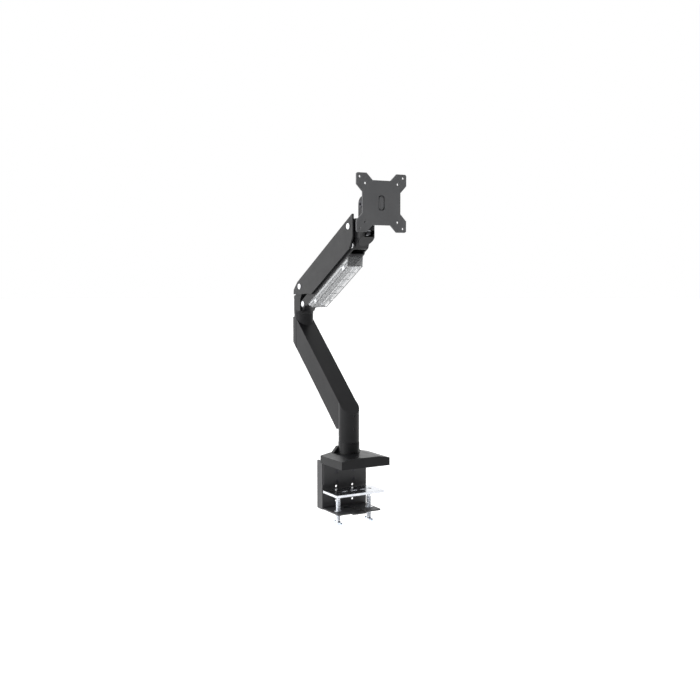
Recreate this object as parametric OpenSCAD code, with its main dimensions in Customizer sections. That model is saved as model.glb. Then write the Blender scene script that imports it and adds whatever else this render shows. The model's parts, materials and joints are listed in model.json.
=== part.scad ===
// Desk-clamp monitor arm: swivelling lower arm, gas-spring parallelogram upper arm,
// swivel / tilt / roll head and a VESA plate. Millimetres, +Z up, screen side towards -Y.
// Origin: where the axis of the base swivel meets the top of the desk.

/* [Base] */
// Width of the base cover
base_w = 115; // [104:1:140]
// Depth of the base cover
base_d = 92; // [86:1:120]
// How far the base reaches in front of the swivel axis
base_front = 71.5; // [64:0.5:74]
// Height of the middle of the base cover above the desk
base_h = 22; // [18:0.5:30]
// Height of the ends of the base cover above the desk
base_edge_h = 17.5; // [12:0.5:17.5]
// Wall of the base cover
cover_wall = 2.5; // [1.5:0.5:3]
// Thickness of the rubber desk pad
pad_t = 1.5; // [1:0.25:3]
// Thickness of the steel base plate
base_plate_t = 5; // [4:0.5:7]

/* [Desk clamp] */
// Thickness of the clamp's steel sheet
sheet_t = 3; // [2:0.5:4]
// Desk edge stop, measured back from the swivel axis
stop_y = 15.5; // [14:0.5:16]
// Width of the lower bracket
bracket_w = 108; // [100:1:120]
// Depth of the lower bracket's side flanges
flange_d = 20; // [12:1:30]
// Drop of the lower bracket below the desk top
bracket_drop = 99; // [90:1:130]
// Drop of the upper bracket below the desk top
hanger_drop = 46; // [40:1:48]
// Reach of the bottom plate in front of the swivel axis
bottom_reach = 47; // [42:1:60]
// Width of the pressure plate
plate_w = 116; // [100:1:130]
// Depth of the pressure plate
plate_d = 61; // [50:1:64]
// Thickness of the pressure plate
plate_t = 5; // [3:0.5:6]
// Depth of the top of the pressure plate below the desk top at rest
plate_z = 55.5; // [50:0.5:64]
// Distance between the two clamp screws
screw_gap = 74.6; // [60:0.2:90]
// Diameter of a clamp screw
screw_d = 10; // [8:0.5:12]
// Distance of the clamp screws in front of the swivel axis
screw_y = 20; // [16:0.5:26]
// Pitch of the hanging holes in the lower bracket
hole_pitch = 31; // [30:1:32]
// Distance between the two columns of hanging holes
hole_gap = 40; // [30:1:60]

/* [Lower arm] */
// Horizontal distance from the base swivel to the elbow swivel
lower_reach = 206; // [180:1:240]
// Slope of the lower arm
lower_slope = 40.7; // [36:0.1:44]
// Width of the lower arm
lower_w = 42; // [40:0.5:44]
// Depth of the lower arm across its slope
lower_h = 51; // [46:0.5:56]
// Radius of the hub and of the elbow socket
hub_r = 22; // [21:0.25:24]
// Height of the swivel joint line above the desk
joint_z = 45; // [40:0.5:50]
// Height at which the top line of the lower arm crosses the swivel axis
crest_z = 124.7; // [118:0.1:135]
// Height of the elbow socket above the top line of the lower arm
socket_rise = 6.6; // [4:0.2:12]
// Wall of the lower arm casting
cast_wall = 4; // [3:0.5:5]
// Radius of the swivel stud
stud_r = 14; // [12:0.25:15]
// Radius of the elbow shaft
elbow_r = 11; // [9:0.25:12]
// Wall of the plain bushes
bush_wall = 3; // [2:0.25:3]

/* [Upper arm] */
// Distance between the two pins of the main link
link_l = 252.5; // [220:0.5:290]
// Angle of the upper arm above the horizontal at rest
link_angle = 29.8; // [24:0.1:34]
// Outside width of the main link
link_w = 45; // [44.5:0.25:48]
// Wall of the main link
link_wall = 3.5; // [2.5:0.25:3.5]
// Height of the main link's top face above the pin line
link_top = 14.5; // [14:0.25:18]
// Depth of the main link's side plates below the pin line
link_low = 41; // [38:0.5:44]
// Play between the lower link and each side plate of the main link
strut_gap = 1.5; // [1.25:0.25:2]
// Sheet thickness of the lower link
strut_t = 3; // [2:0.25:3]
// Radius of the link pins
pin_r = 4; // [3:0.25:4.5]
// Radius of the pin heads
pin_head_r = 6.3; // [5.5:0.1:7]
// Distance of the upper elbow pin in front of the elbow swivel
pin_fwd = 23.6; // [22:0.2:26]
// Height of the upper elbow pin above the elbow socket
pin_rise = 62.5; // [60:0.5:70]
// Lower pins, measured forward from the upper pins
pin_off_y = 5.9; // [4:0.1:8]
// Lower pins, measured down from the upper pins
pin_off_z = 38.7; // [37:0.1:42]
// Depth of the clear cable cover
clear_d = 16.5; // [12:0.5:20]
// Wall of the clear cable cover
clear_wall = 1.5; // [1:0.25:2]
// Radius of the gas spring's tube
spring_r = 9.5; // [8:0.25:10]
// Radius of the gas spring's rod
rod_r = 4; // [3:0.25:5]

/* [Head] */
// Horizontal distance from the upper head pin to the head swivel
swivel_fwd = 35.8; // [34:0.2:42]
// Radius of the swivel barrel
barrel_r = 16; // [15:0.25:16.5]
// Height of the knuckle's top above the upper head pin
barrel_rise = 15.5; // [14:0.5:18]
// Horizontal distance from the head swivel to the tilt bolt
tilt_fwd = 9.5; // [8:0.5:14]
// Height of the tilt bolt above the knuckle
tilt_rise = 27; // [26:0.5:34]
// Distance from the tilt bolt to the front of the VESA plate
face_fwd = 48; // [46:0.5:60]
// Radius of the swivel shaft
swivel_r = 6; // [5:0.25:7]
// Radius of the tilt bolt
tilt_r = 4; // [3:0.25:5]

/* [VESA plate] */
// Side of the VESA plate
vesa_w = 115; // [112:1:130]
// Thickness of the VESA plate
vesa_t = 3; // [2:0.25:4]
// Radius of the screw holes
vesa_hole_r = 2.4; // [2.2:0.1:3]
// Width of the central slot
vesa_slot_w = 14; // [10:0.5:18]
// Height of the central slot
vesa_slot_h = 29; // [24:0.5:32]

/* [Fits] */
// Radial clearance of a running fit
run_fit = 0.05; // [0.02:0.01:0.1]
// Gap between parts that move past each other
gap = 0.6; // [0.4:0.1:1]

/* [Hidden] */
$fn = 96;

BLACK = "#26272a";
SATIN = "#3a3b3e";
STEEL = "#b9bcc2";
eps = 0.01;

// heights of the stack on the desk
cover_z0 = 1;
plate_z0 = pad_t;
plate_z1 = plate_z0 + base_plate_t;
base_back = base_d - base_front;
rest_plate_top = -plate_z;
bottom_z1 = -bracket_drop + sheet_t;
plate_y0 = -screw_y - plate_d / 2 - 1;
hanger_y1 = stop_y + 3.5;
bead_w = 26;
bead_h = 2.5;
bar_z = -bracket_drop - 22;

// elbow and pins, as [y, z]
socket_top = crest_z + lower_reach * tan(lower_slope) + socket_rise;
elbow_gap = gap;
collar_z = socket_top + elbow_gap;
elbow_up = [lower_reach - pin_fwd, socket_top + pin_rise];
elbow_low = elbow_up + [-pin_off_y, -pin_off_z];
head_up = at_link(link_l, 0);
head_low = head_up + [-pin_off_y, -pin_off_z];
knuckle_top = head_up[1] + barrel_rise;
swivel_y = head_up[0] - swivel_fwd;
tilt_c = [swivel_y - tilt_fwd, knuckle_top + tilt_rise];
face_y = tilt_c[0] - face_fwd;
link_in = link_w / 2 - link_wall;
strut_w = 2 * (link_in - strut_gap);
strut_in = strut_w / 2 - strut_t;
cheek_x = link_in - 0.4;
ear_x = strut_in - 0.3;

// where a point of the upper arm's own frame (along, up) lies at rest
function at_link(u, v) = [elbow_up[0] - u * cos(link_angle) + v * sin(link_angle),
                          elbow_up[1] + u * sin(link_angle) + v * cos(link_angle)];
// the lower pins in the same frame
low_u = pin_off_y * cos(link_angle) - pin_off_z * sin(link_angle);
low_v = -pin_off_y * sin(link_angle) - pin_off_z * cos(link_angle);
// the gas spring: fixed end on the trunnion, far end on a pin in the main link
trunnion = elbow_up + [-1.8, -11.9];
spring_far = at_link(link_l - 44, -5);
spring_len = norm(spring_far - trunnion);
spring_angle = atan2(spring_far[1] - trunnion[1], trunnion[0] - spring_far[0]);
tube_len = spring_len * 0.7;
neck_r = 4;

// a side profile (y, z) drawn across the arm from x0 to x1
module across(x0, x1)
  translate([x0, 0, 0])
    rotate([90, 0, 90])
      linear_extrude(x1 - x0)
        children();

// the same profile on both sides, between half widths x0 and x1
module both_sides(x0, x1) {
  across(x0, x1) children();
  across(-x1, -x0) children();
}

// profile coordinates (along, up) of a sloping member that starts at p
module sloped(p, angle)
  translate(p)
    mirror([1, 0])
      rotate(angle)
        children();

// a solid frame whose z runs along the member and whose y points out of its top
module on_member(p, angle)
  translate([0, p[0], p[1]])
    rotate([90 - angle, 0, 0])
      children();

// a round bar across the arm at p, from x0 to x1
module cross_rod(p, r, x0, x1)
  translate([x0, p[0], p[1]])
    rotate([0, 90, 0])
      cylinder(r = r, h = x1 - x0);

// a bar pointing to the screen, from y0 to y1
module fore_rod(x, z, r, y0, y1)
  translate([x, y1, z])
    rotate([90, 0, 0])
      cylinder(r = r, h = y1 - y0);

module post(x, y, r, z0, z1)
  translate([x, y, z0])
    cylinder(r = r, h = z1 - z0);

module box(lo, hi)
  translate(lo)
    cube(hi - lo);

module ring(r, inner, h)
  difference() {
    cylinder(r = r, h = h);
    translate([0, 0, -1]) cylinder(r = inner, h = h + 2);
  }

// flat shape with round ends, centred, long way upright
module stadium(w, h) {
  translate([0, (h - w) / 2]) circle(d = w);
  translate([0, -(h - w) / 2]) circle(d = w);
  square([w, h - w], center = true);
}

// two circles joined by their outer tangents
module strap(p1, r1, p2, r2) {
  d = p2 - p1;
  a = atan2(d[1], d[0]);
  t = acos((r1 - r2) / norm(d));
  translate(p1) circle(r = r1);
  translate(p2) circle(r = r2);
  polygon([p1 + r1 * [cos(a + t), sin(a + t)], p2 + r2 * [cos(a + t), sin(a + t)],
           p2 + r2 * [cos(a - t), sin(a - t)], p1 + r1 * [cos(a - t), sin(a - t)]]);
}

// rectangle with rounded corners, from lo to hi
module round_rect(lo, hi, r) {
  for (x = [lo[0] + r, hi[0] - r], y = [lo[1] + r, hi[1] - r])
    translate([x, y]) circle(r = r);
  translate([lo[0], lo[1] + r]) square([hi[0] - lo[0], hi[1] - lo[1] - 2 * r]);
  translate([lo[0] + r, lo[1]]) square([hi[0] - lo[0] - 2 * r, hi[1] - lo[1]]);
}

// ---------------------------------------------------------------- base

post_foot = [30, 20];
bolt_spots = [[-22, -14], [22, -14], [-22, 12], [22, 12]];

// the screws that hang the lower bracket on the tongue of the base plate
hang_r = 2.5;
csk_r = 4.6;
csk_h = 2.2;
function hang_z(k) = -20 - 20 * k;

// the seat of a countersunk head in the face of the tongue
module countersink(x, z, r, head_r)
  translate([x, stop_y - eps, z])
    rotate([-90, 0, 0])
      cylinder(r1 = head_r, r2 = r, h = csk_h * (head_r - r) / (csk_r - hang_r));

module desk_pad() color("#1c1c1e")
  difference() {
    linear_extrude(pad_t)
      round_rect([-base_w / 2 + 4, -base_front + 4], [base_w / 2 - 4, stop_y - 1], 5);
    for (p = bolt_spots)
      post(p[0], p[1], 7, -1, pad_t + 1);
  }

module base_plate() color(SATIN)
  difference() {
    union() {
      translate([0, 0, plate_z0])
        linear_extrude(base_plate_t)
          round_rect([-base_w / 2 + cover_wall + 1, -base_front + cover_wall + 1],
                     [base_w / 2 - cover_wall - 1, hanger_y1 - 1], 4);
      box([-bracket_w / 2 + 2, stop_y, -hanger_drop], [bracket_w / 2 - 2, hanger_y1, plate_z0 + base_plate_t]);
    }
    for (p = bolt_spots) {
      post(p[0], p[1], 3.1, 0, 20);
      translate([p[0], p[1], plate_z0 - eps]) cylinder(r1 = 6, r2 = 3.1, h = 3);
    }
    for (s = [-1, 1], k = [0, 1]) {
      fore_rod(s * hole_gap / 2, hang_z(k), hang_r + run_fit, stop_y - 5, hanger_y1 + 5);
      countersink(s * hole_gap / 2, hang_z(k), hang_r + run_fit, csk_r + run_fit);
    }
    // relief of the bend, so that the stop's face ends level with the underside of the pad
    box([-bracket_w / 2, stop_y - 1, 0], [bracket_w / 2, stop_y + 0.6, plate_z0]);
  }

module cover_profile(inset)
  polygon([[-base_w / 2 + inset, cover_z0 - inset * 4], [-base_w / 2 + inset, base_edge_h - inset],
           [-base_w * 0.3 + inset / 3, base_h - inset], [base_w * 0.3 - inset / 3, base_h - inset],
           [base_w / 2 - inset, base_edge_h - inset], [base_w / 2 - inset, cover_z0 - inset * 4]]);

module base_cover() color(BLACK)
  difference() {
    translate([0, base_back, 0])
      rotate([90, 0, 0])
        linear_extrude(base_d)
          cover_profile(0);
    translate([0, base_back - cover_wall, 0])
      rotate([90, 0, 0])
        linear_extrude(base_d - 2 * cover_wall)
          cover_profile(cover_wall);
    post(0, 0, hub_r + 0.9, 0, base_h + 5);
    box([-post_foot[0] - 4, 6, base_edge_h - cover_wall - 4], [post_foot[0] + 4, base_back - cover_wall, base_h + 5]);
    box([-bracket_w / 2 + 1, stop_y - 1, -1], [bracket_w / 2 - 1, base_back + 1, plate_z1 + 1]);
  }

module base_post() color(BLACK)
  difference() {
    union() {
      translate([0, 0, plate_z1])
        linear_extrude(5)
          round_rect([-post_foot[0], -22.5], [post_foot[0], 17.5], 5);
      post(0, 0, hub_r + 0.5, plate_z1, joint_z);
      for (s = [-1, 1])
        translate([0, 16.5, 0])
          rotate([90, 0, 0])
            linear_extrude(9)
              polygon([[s * 14, plate_z1], [s * (post_foot[0] + 3), plate_z1 + 5],
                       [s * (post_foot[0] + 3), base_h + 1], [s * hub_r, base_h + 14], [s * 14, base_h + 14]]);
    }
    post(0, 0, stud_r, plate_z1 - 1, joint_z + 1);
    for (p = bolt_spots)
      post(p[0], p[1], 2.5, plate_z1 - 1, plate_z1 + 12);
  }

module post_bolts() color(STEEL)
  for (p = bolt_spots)
    difference() {
      union() {
        translate([p[0], p[1], plate_z0 + 0.1]) cylinder(r1 = 5.8, r2 = 2.5, h = 3.3);
        post(p[0], p[1], 2.5, plate_z0 + 1, plate_z1 + 11);
      }
      translate([p[0], p[1], plate_z0 - 1]) cylinder(r = 2, h = 2.6, $fn = 6);
    }

module swivel_stud() color(STEEL)
  difference() {
    union() {
      post(0, 0, stud_r, plate_z1, joint_z + 62);
      post(0, 0, stud_r - 2, joint_z + 62, joint_z + 64);
    }
    post(0, 0, stud_r - 4.5, plate_z1 + 8, joint_z + 65);
    for (k = [0, 1])
      translate([0, 0, joint_z + 26.5 - run_fit + 28.5 * k])
        ring(stud_r + 1, stud_r - 1.2, 5 + 2 * run_fit);
  }

module hub_bush() color("#151516")
  difference() {
    union() {
      post(0, 0, hub_r - 0.4, joint_z + run_fit, joint_z + gap);
      post(0, 0, stud_r + bush_wall, joint_z + run_fit, joint_z + 22);
    }
    post(0, 0, stud_r + run_fit, joint_z - 1, joint_z + 30);
  }

// ---------------------------------------------------------------- desk clamp

module lower_bracket() color(SATIN)
  difference() {
    union() {
      box([-bracket_w / 2, hanger_y1, -bracket_drop], [bracket_w / 2, hanger_y1 + sheet_t, 0.5]);
      for (s = [0, 1])
        mirror([s, 0, 0])
          across(bracket_w / 2 - sheet_t, bracket_w / 2)
            round_rect([hanger_y1 + sheet_t - 1, -bracket_drop], [hanger_y1 + sheet_t + flange_d, 5], 3);
      difference() {
        translate([0, 0, -bracket_drop])
          linear_extrude(sheet_t)
            round_rect([-bracket_w / 2 + 2, -bottom_reach], [bracket_w / 2 - 2, hanger_y1 + 6], 4);
        box([-bracket_w, hanger_y1 + eps, -bracket_drop - 1], [bracket_w, hanger_y1 + 20, bottom_z1 + 1]);
        box([-bead_w / 2, -bottom_reach - 1, -bracket_drop - 1], [bead_w / 2, 6, bottom_z1 + 1]);
      }
      // stiffening bead pressed down into the bottom plate
      difference() {
        box([-bead_w / 2 - sheet_t, -bottom_reach, -bracket_drop - bead_h],
            [bead_w / 2 + sheet_t, 6 + sheet_t, bottom_z1]);
        box([-bead_w / 2, -bottom_reach - 1, -bracket_drop - bead_h + sheet_t], [bead_w / 2, 6, bottom_z1 + 1]);
      }
    }
    for (s = [-1, 1]) {
      for (z = [-52, -52 - hole_pitch, hang_z(0), hang_z(1)])
        fore_rod(s * hole_gap / 2, z, hang_r + run_fit, hanger_y1 - 5, hanger_y1 + 8);
      post(s * screw_gap / 2, -screw_y, screw_d / 2 + 2, -bracket_drop - 8, bottom_z1 + 1);
    }
  }

module bracket_screws() color("#202124")
  for (s = [-1, 1], k = [0, 1])
    difference() {
      union() {
        translate([0, 0.25, 0]) countersink(s * hole_gap / 2, hang_z(k), hang_r, csk_r - 0.25);
        fore_rod(s * hole_gap / 2, hang_z(k), hang_r, stop_y + 1, hanger_y1 + sheet_t + 6);
      }
      translate([s * hole_gap / 2, stop_y + 1.7, hang_z(k)])
        rotate([90, 0, 0])
          cylinder(r = 1.7, h = 3, $fn = 6);
    }

module bracket_nuts() color(STEEL)
  for (s = [-1, 1], k = [0, 1])
    difference() {
      translate([s * hole_gap / 2, hanger_y1 + sheet_t + 4, hang_z(k)])
        rotate([90, 0, 0])
          cylinder(r = 4.6, h = 4, $fn = 6);
      fore_rod(s * hole_gap / 2, hang_z(k), hang_r, hanger_y1, hanger_y1 + 20);
    }

module clamp_nuts() color(STEEL)
  for (s = [-1, 1])
    difference() {
      union() {
        post(s * screw_gap / 2, -screw_y, screw_d / 2 + 2, -bracket_drop - 3, bottom_z1);
        post(s * screw_gap / 2, -screw_y, screw_d / 2 + 3.6, bottom_z1, bottom_z1 + 1.4);
      }
      post(s * screw_gap / 2, -screw_y, screw_d / 2 + run_fit, -bracket_drop - 10, bottom_z1 + 10);
    }

module pressure_plate() color("#cdd0d6")
  difference() {
    translate([0, 0, rest_plate_top - plate_t])
      linear_extrude(plate_t)
        round_rect([-plate_w / 2, plate_y0], [plate_w / 2, plate_y0 + plate_d], 2.5);
    // tray-shaped underside
    translate([0, 0, rest_plate_top - plate_t - 1])
      linear_extrude(plate_t - sheet_t + 1)
        round_rect([-plate_w / 2 + sheet_t, plate_y0 + sheet_t],
                   [plate_w / 2 - sheet_t, plate_y0 + plate_d - sheet_t], 2);
    for (x = [-22, 0, 22])
      translate([x, -screw_y - 1, rest_plate_top - plate_t - 1])
        linear_extrude(plate_t + 2)
          rotate(90) stadium(6.5, x == 0 ? 16 : 12);
    for (s = [-1, 1])
      translate([s * screw_gap / 2, -screw_y, 0]) {
        post(0, 0, 3.5, rest_plate_top - plate_t - 1, rest_plate_top + 1);
        translate([0, 0, rest_plate_top - 1.5]) cylinder(r1 = 3.5, r2 = 6.5, h = 1.5 + eps);
      }
  }

foot_z0 = rest_plate_top - plate_t - 7;
foot_z1 = rest_plate_top - sheet_t;

module screw_feet() color(STEEL)
  for (s = [-1, 1])
    translate([s * screw_gap / 2, -screw_y, 0])
      difference() {
        union() {
          post(0, 0, 9, foot_z0 + 3, foot_z1);
          post(0, 0, 7.5, foot_z0, foot_z0 + 3);
          post(0, 0, 3.5, foot_z1 - 1, rest_plate_top - 0.9);
        }
        post(0, 0, screw_d / 2 - 1 + run_fit, foot_z0 - 1, foot_z0 + 5);
      }

module clamp_screw(s) color("#c3c6cc")
  translate([s * screw_gap / 2, -screw_y, 0])
    difference() {
      union() {
        post(0, 0, screw_d / 2 - 1, foot_z0 - 4, foot_z0 + 4.6);
        post(0, 0, screw_d / 2, bar_z + 4, foot_z0 - gap);
        post(0, 0, screw_d / 2 + 0.2, bar_z - 4.6, bar_z + 5);
      }
      fore_rod(0, bar_z, bar_r + run_fit, -20, 20);
    }

module clamp_screw_left() clamp_screw(-1);
module clamp_screw_right() clamp_screw(1);

bar_half = 10;
bar_r = 2.5;
knob_r = 3.4;
knob_l = 4.5;

module tommy_bar(s) color("#aeb9c9")
  translate([s * screw_gap / 2, -screw_y, bar_z]) {
    fore_rod(0, 0, bar_r, -bar_half, bar_half);
    fore_rod(0, 0, knob_r, -bar_half - knob_l, -bar_half);
    fore_rod(0, 0, knob_r, bar_half, bar_half + knob_l);
  }

module tommy_bar_left() tommy_bar(-1);
module tommy_bar_right() tommy_bar(1);

// ---------------------------------------------------------------- lower arm

fall = tan(lower_slope);
beam_v = lower_h / cos(lower_slope);
function crest(y) = crest_z + y * fall;
function belly(y) = crest_z + y * fall - beam_v;
back_y = lower_reach + 12;
hub_back = 16;
elbow_base = socket_top - 46;
duct_y0 = hub_r + 22;
duct_y1 = lower_reach - hub_r - 22;
lid_rise = 3 / cos(lower_slope);
lid_gap = 0.3;

module beam_profile()
  polygon([[-hub_r, crest(-hub_r)], [lower_reach, crest(lower_reach)], [back_y, crest(lower_reach)],
           [back_y, belly(back_y)], [hub_back, belly(hub_back)], [hub_back - 7, belly(hub_back) + 5],
           [-hub_r, belly(hub_back) + 5]]);

// the hollow of the casting, open along its underside
module beam_hollow()
  polygon([[hub_r + 3, crest(hub_r + 3) - cast_wall / cos(lower_slope)],
           [lower_reach - hub_r - 3, crest(lower_reach - hub_r - 3) - cast_wall / cos(lower_slope)],
           [lower_reach - hub_r - 3, belly(lower_reach - hub_r - 3) - 10],
           [hub_r + 3, belly(hub_r + 3) - 10]]);

module lower_arm() color(BLACK)
  difference() {
    union() {
      intersection() {
        across(-lower_w / 2, lower_w / 2) beam_profile();
        union() {
          post(0, 0, hub_r, 0, 400);
          box([-lower_w, 0, 0], [lower_w, lower_reach + 60, 400]);
        }
      }
      intersection() {
        post(0, 0, hub_r, joint_z + gap, crest_z + 40);
        across(-hub_r - 1, hub_r + 1)
          polygon([[-hub_r - 1, 0], [hub_r + 1, 0], [hub_r + 1, crest(hub_r + 1)], [-hub_r - 1, crest(-hub_r - 1)]]);
      }
      difference() {
        post(0, lower_reach, hub_r - 0.5, belly(lower_reach) - 20, socket_top);
        across(-hub_r - 1, hub_r + 1)
          polygon([[lower_reach - hub_r - 1, 0], [lower_reach + hub_r + 1, 0],
                   [lower_reach + hub_r + 1, belly(lower_reach + hub_r + 1)],
                   [lower_reach - hub_r - 1, belly(lower_reach - hub_r - 1)]]);
      }
    }
    across(-lower_w / 2 + cast_wall, lower_w / 2 - cast_wall) beam_hollow();
    // seat of the swivel stud and its bushes
    post(0, 0, stud_r + bush_wall, joint_z - 1, joint_z + 22);
    post(0, 0, stud_r + run_fit, joint_z + 21, joint_z + 66);
    for (k = [0, 1])
      fore_rod(0, joint_z + 29 + 28.5 * k, 2.5, -hub_r - 2, -stud_r + 2);
    // elbow seat
    post(0, lower_reach, elbow_r + bush_wall, socket_top - 20, socket_top + 1);
    post(0, lower_reach, elbow_r + bush_wall, elbow_base, elbow_base + 12);
    post(0, lower_reach, elbow_r + run_fit, elbow_base, socket_top + 1);
    post(0, lower_reach, elbow_r + 4.5, 0, elbow_base);
    // rebate that holds the cable cover
    across(-lower_w / 2 - 1, lower_w / 2 + 1)
      polygon([[duct_y0, belly(duct_y0) + lid_rise], [duct_y1, belly(duct_y1) + lid_rise],
               [duct_y1, belly(duct_y1) - 9], [duct_y0, belly(duct_y0) - 9]]);
  }

module lower_cable_cover() color("#2b2c2f")
  difference() {
    across(-lower_w / 2, lower_w / 2)
      polygon([[duct_y0 + lid_gap, belly(duct_y0 + lid_gap) + lid_rise - lid_gap],
               [duct_y1 - lid_gap, belly(duct_y1 - lid_gap) + lid_rise - lid_gap],
               [duct_y1 - lid_gap, belly(duct_y1 - lid_gap)], [duct_y0 + lid_gap, belly(duct_y0 + lid_gap)]]);
    for (k = [1:3])
      translate([0, duct_y0 + (duct_y1 - duct_y0) * k / 4, 0])
        box([-8, -2, 0], [8, 2, 400]);
  }

module hub_screws() color("#4a4c50")
  for (k = [0, 1])
    translate([0, -hub_r + 1.4, joint_z + 29 + 28.5 * k])
      difference() {
        fore_rod(0, 0, 2.5, 0, hub_r - stud_r - 1);
        translate([0, 2, 0]) rotate([90, 0, 0]) cylinder(r = 1.5, h = 4, $fn = 6);
      }

module elbow_bush_top() color("#151516")
  translate([0, lower_reach, socket_top - 20])
    difference() {
      union() {
        cylinder(r = elbow_r + bush_wall, h = 20);
        translate([0, 0, 20]) cylinder(r = hub_r - 1, h = elbow_gap - run_fit);
      }
      translate([0, 0, -1]) cylinder(r = elbow_r + run_fit, h = 30);
    }

module elbow_bush_low() color("#151516")
  translate([0, lower_reach, elbow_base])
    ring(elbow_r + bush_wall, elbow_r + run_fit, 12);

// ---------------------------------------------------------------- elbow

housing_top = elbow_low[1] + 12.5;
shaft_top = collar_z + 14;

module elbow_bracket() color(BLACK)
  difference() {
    union() {
      post(0, lower_reach, hub_r, collar_z, collar_z + 7);
      intersection() {
        union() {
          post(0, lower_reach, hub_r, collar_z + 7, elbow_up[1] + 10);
          box([-cheek_x, elbow_low[0] + 11, collar_z + 7], [cheek_x, lower_reach, elbow_up[1] + 10]);
        }
        across(-cheek_x, cheek_x) {
          polygon([[elbow_low[0] + 11, collar_z], [lower_reach + hub_r + 1, collar_z],
                   [lower_reach + hub_r + 1, housing_top], [lower_reach, housing_top + 9],
                   [elbow_up[0] + 9, housing_top + 12], [elbow_low[0] + 11, housing_top]]);
        }
      }
      both_sides(10.5, cheek_x)
        union() {
          translate(elbow_up) circle(r = 10);
          polygon([elbow_up + [-8.5, -5.4], elbow_up + [4, 9.2], elbow_up + [20, -13],
                   [lower_reach, housing_top - 4], [elbow_low[0] + 11, housing_top - 4]]);
        }
      across(-ear_x, ear_x)
        union() {
          translate(elbow_low) circle(r = 9);
          polygon([elbow_low + [0, 9], [elbow_low[0] + 14, elbow_low[1] + 11], [elbow_low[0] + 14, collar_z + 2],
                   elbow_low + [-5, -7.5]]);
        }
    }
    // fork for the gas spring and its trunnion
    box([-10.5, elbow_up[0] - 30, elbow_low[1] + 9.5], [10.5, elbow_up[0] + 13, elbow_up[1] + 30]);
    post(0, lower_reach, elbow_r, collar_z - 1, shaft_top);
    cross_rod(elbow_up, pin_r, -50, 50);
    cross_rod(elbow_low, pin_r, -50, 50);
    cross_rod(trunnion, 3, -cheek_x + 3, cheek_x - 3);
    // tension screw
    post(0, elbow_up[0] + 21, 3 + run_fit, shaft_top + 3, elbow_up[1] + 30);
  }

module elbow_shaft() color(STEEL)
  difference() {
    post(0, lower_reach, elbow_r, elbow_base - 0.5, shaft_top);
    post(0, lower_reach, 4, elbow_base - 1, elbow_base + 26);
  }

module elbow_washer() color(STEEL)
  translate([0, lower_reach, elbow_base - 2.5])
    ring(elbow_r + 3.5, 4 + run_fit, 2);

module elbow_bolt() color(STEEL)
  translate([0, lower_reach, 0])
    difference() {
      union() {
        post(0, 0, 4, elbow_base - 2.5, elbow_base + 25);
        translate([0, 0, elbow_base - 8]) cylinder(r = 6.5, h = 5.5);
      }
      translate([0, 0, elbow_base - 9]) cylinder(r = 3.4, h = 4.5, $fn = 6);
    }

// pin with a domed-edge head at each end
module headed_pin(p, half, head_t) {
  cross_rod(p, pin_r, -half, half);
  for (s = [0, 1])
    mirror([s, 0, 0]) {
      cross_rod(p, pin_head_r, half, half + head_t * 0.6);
      cross_rod(p, pin_head_r - 0.5, half + head_t * 0.6, half + head_t);
    }
}

module elbow_pin_upper() color("#d8d9dc") headed_pin(elbow_up, link_w / 2 + run_fit, 1.8);
module elbow_pin_lower() color("#d8d9dc") headed_pin(elbow_low, strut_w / 2 + run_fit, 1.1);

module spring_trunnion() color(STEEL)
  cross_rod(trunnion, 3, -cheek_x + 3, cheek_x - 3);

module tension_screw() color(STEEL)
  translate([0, elbow_up[0] + 21, 0])
    difference() {
      post(0, 0, 3, shaft_top + 3, housing_top + 5);
      translate([0, 0, housing_top + 2]) cylinder(r = 1.8, h = 4, $fn = 6);
    }

// ---------------------------------------------------------------- upper arm

module main_plate_profile()
  difference() {
    sloped(elbow_up, link_angle)
      polygon([[-5, link_top], [-29, 8.2], [-35, -0.4], [-7.5, -16.2], [12, -25], [40, -link_low],
               [link_l - 20, -link_low], [link_l + 5, -26], [link_l + 27, link_top - 1.5], [link_l + 25, link_top]]);
    translate(elbow_up) circle(r = pin_r + 1.5);
    translate(head_up) circle(r = pin_r);
    translate(spring_far) circle(r = 3);
  }

wall_u0 = -4;
wall_u1 = link_l - 17;

module main_link() color(SATIN) {
  both_sides(link_in, link_w / 2) main_plate_profile();
  on_member(elbow_up, link_angle)
    box([-link_in - 1, link_top - link_wall, wall_u0], [link_in + 1, link_top, wall_u1]);
}

module link_bushes() color("#d9d2b8")
  both_sides(link_in, link_w / 2)
    translate(elbow_up)
      difference() {
        circle(r = pin_r + 1.5);
        circle(r = pin_r + run_fit);
      }

module head_pin_upper() color("#d8d9dc") headed_pin(head_up, link_w / 2, 1.8);

module spring_pin() color(STEEL) cross_rod(spring_far, 3, -link_w / 2 + 1, link_w / 2 - 1);

// the lower link is a folded channel, open upwards
strut_v0 = low_v - 12;
strut_v1 = low_v + 9;

module strut_profile()
  sloped(elbow_up, link_angle)
    difference() {
      union() {
        strap([low_u, low_v], 9, [link_l + low_u, low_v], 9);
        polygon([[low_u + 8, low_v - 5], [low_u + 14, strut_v0], [link_l + low_u - 16, strut_v0],
                 [link_l + low_u - 8, low_v - 5]]);
      }
      translate([low_u, low_v]) circle(r = pin_r + run_fit);
      translate([link_l + low_u, low_v]) circle(r = pin_r + run_fit);
    }

module lower_link() color(SATIN)
  difference() {
    union() {
      both_sides(strut_in, strut_w / 2) strut_profile();
      on_member(elbow_up, link_angle)
        box([-strut_in - 1, strut_v0, low_u + 14], [strut_in + 1, strut_v0 + strut_t, link_l + low_u - 16]);
    }
    for (u = cover_screw_u)
      on_member(at_link(u, strut_v0), link_angle)
        rotate([-90, 0, 0]) translate([0, 0, -5]) cylinder(r = 1.7, h = 12);
  }

// clear snap-on cover that carries the cables under the lower link
clear_u0 = 8;
clear_u1 = link_l - 38;
clear_x = strut_w / 2 + 0.5;
clear_v1 = strut_v0 - 0.2;
clear_v0 = clear_v1 - clear_d;
cover_screw_u = [clear_u0 + 28, clear_u1 - 20];

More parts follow.
